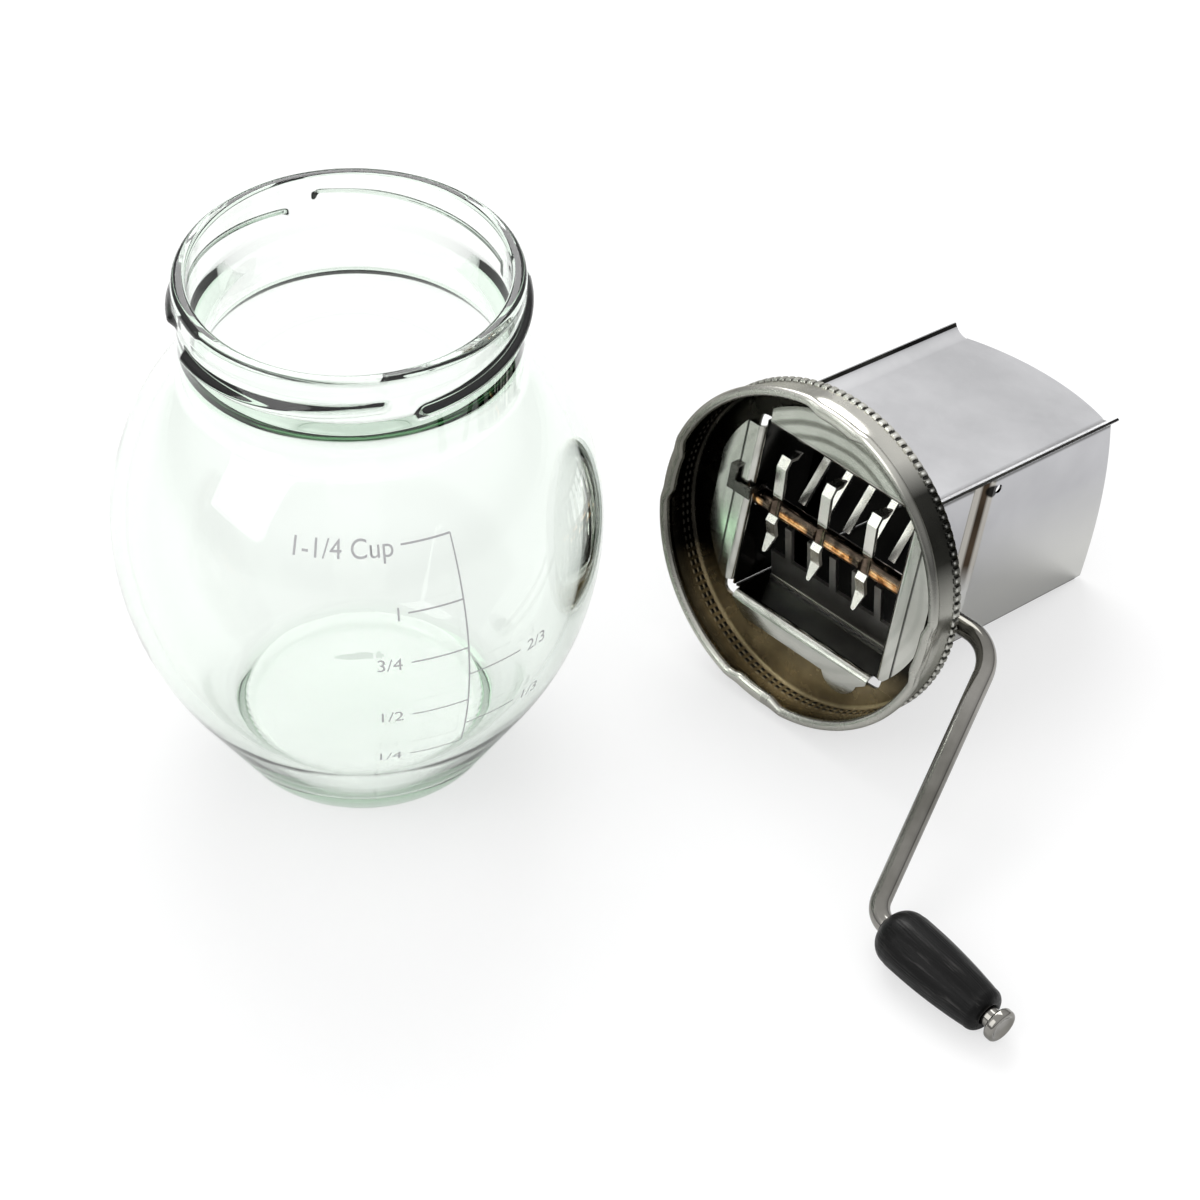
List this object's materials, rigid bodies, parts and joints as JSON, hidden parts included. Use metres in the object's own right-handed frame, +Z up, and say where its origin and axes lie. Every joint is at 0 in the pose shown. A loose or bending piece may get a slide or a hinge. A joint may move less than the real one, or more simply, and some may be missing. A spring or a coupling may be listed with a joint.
{
  "type": "nut grinder",
  "caption": "Jar-top nut grinder: a clear glass jar beside its steel screw-on head, with a square hopper, slotted combs, hooked rotor blades and a crank with a wooden grip.",
  "frame": {"origin": "centre of the jar's flat base, on the table", "axes": "+Z up along the jar's axis; +X from the jar's side past the cap's ring to the hopper's mouth; the shaft and crank run towards -Y"},
  "size_m": [0.1771, 0.1785, 0.106],
  "materials": {
    "glass": "clear, green at the edges",
    "tinplate": "bright plated, warm brass tint inside",
    "sheet_steel": "polished",
    "wire_steel": "plated wire",
    "black_wood": "black stained, satin"
  },
  "bodies": {
    "jar": {"jar": "glass"},
    "head": {"cap_shell": "tinplate", "front_panel": "sheet_steel", "back_panel": "sheet_steel", "left_panel": "sheet_steel", "right_panel": "sheet_steel", "front_comb": "sheet_steel", "back_comb": "sheet_steel", "shaft_stop": "sheet_steel"},
    "rotor": {"crank_wire": "wire_steel", "blade_1": "wire_steel", "blade_2": "wire_steel", "blade_3": "wire_steel", "spindle_button": "wire_steel"},
    "grip": {"grip": "black_wood"}
  },
  "joints": [
    {"name": "head_lift", "type": "slide", "parent": "jar", "child": "head", "axis": [0, 0, 1], "range_m": [0, 0.12]},
    {"name": "crank_turn", "type": "hinge", "parent": "head", "child": "rotor", "pos_m": [0.07286, -0.0496, 0.0316], "axis": [0, -1, 0], "continuous": true},
    {"name": "grip_spin", "type": "hinge", "parent": "rotor", "child": "grip", "pos_m": [0.02742, -0.1025, 0.00611], "axis": [-0.0866, -0.9951, -0.0486], "continuous": true}
  ]
}
